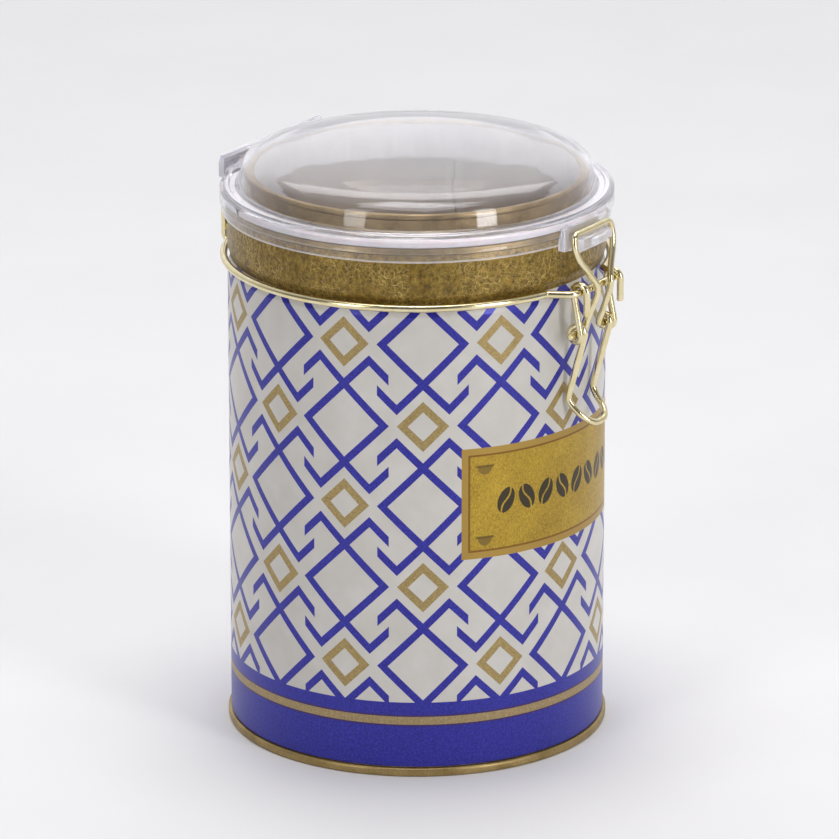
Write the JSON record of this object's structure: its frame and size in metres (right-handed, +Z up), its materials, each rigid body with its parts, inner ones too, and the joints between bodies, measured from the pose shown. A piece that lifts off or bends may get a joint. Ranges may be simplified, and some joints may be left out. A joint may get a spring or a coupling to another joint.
{
  "type": "clip-top storage tin",
  "caption": "Round printed coffee tin with a clear domed lid on a rear hinge wire, a silicone seal and an over-centre wire clasp at the front.",
  "frame": {"origin": "middle of the foot, on the surface the tin stands on", "axes": "+Z up along the tin's axis, -Y towards the clasp, +Y towards the hinge, +X to the right seen from the clasp side"},
  "size_m": [0.104, 0.1155, 0.1593],
  "materials": {
    "printed_tinplate": "satin printed pattern of blue and gold on warm grey",
    "gold_tinplate": "gold lacquer, fine crackle",
    "clear_plastic": "clear gloss",
    "seal_silicone": "translucent white, matt",
    "gold_wire": "bright pale gold plating"
  },
  "bodies": {
    "can": {"body_shell": "printed_tinplate", "base_end": "gold_tinplate", "shoulder_ring": "gold_tinplate", "neck_hoop": "gold_wire", "hinge_wire": "gold_wire"},
    "lid": {"lid": "clear_plastic", "lid_gasket": "seal_silicone"},
    "lever": {"clasp_lever": "gold_wire"},
    "bail": {"clasp_bail": "gold_wire"}
  },
  "joints": [
    {"name": "lid_hinge", "type": "hinge", "parent": "can", "child": "lid", "pos_m": [0, 0.0536, 0.145], "axis": [-1, 0, 0], "range_deg": [0, 105]},
    {"name": "lever_swing", "type": "hinge", "parent": "can", "child": "lever", "pos_m": [0, -0.0557, 0.129], "axis": [-1, 0, 0], "range_deg": [0, 145]},
    {"name": "bail_swing", "type": "hinge", "parent": "lever", "child": "bail", "pos_m": [0, -0.054, 0.1173], "axis": [-1, 0, 0], "range_deg": [-160, 0]}
  ],
  "couplings": [
    {"joint": "bail_swing", "follows": "lever_swing", "ratio": -1.1}
  ]
}
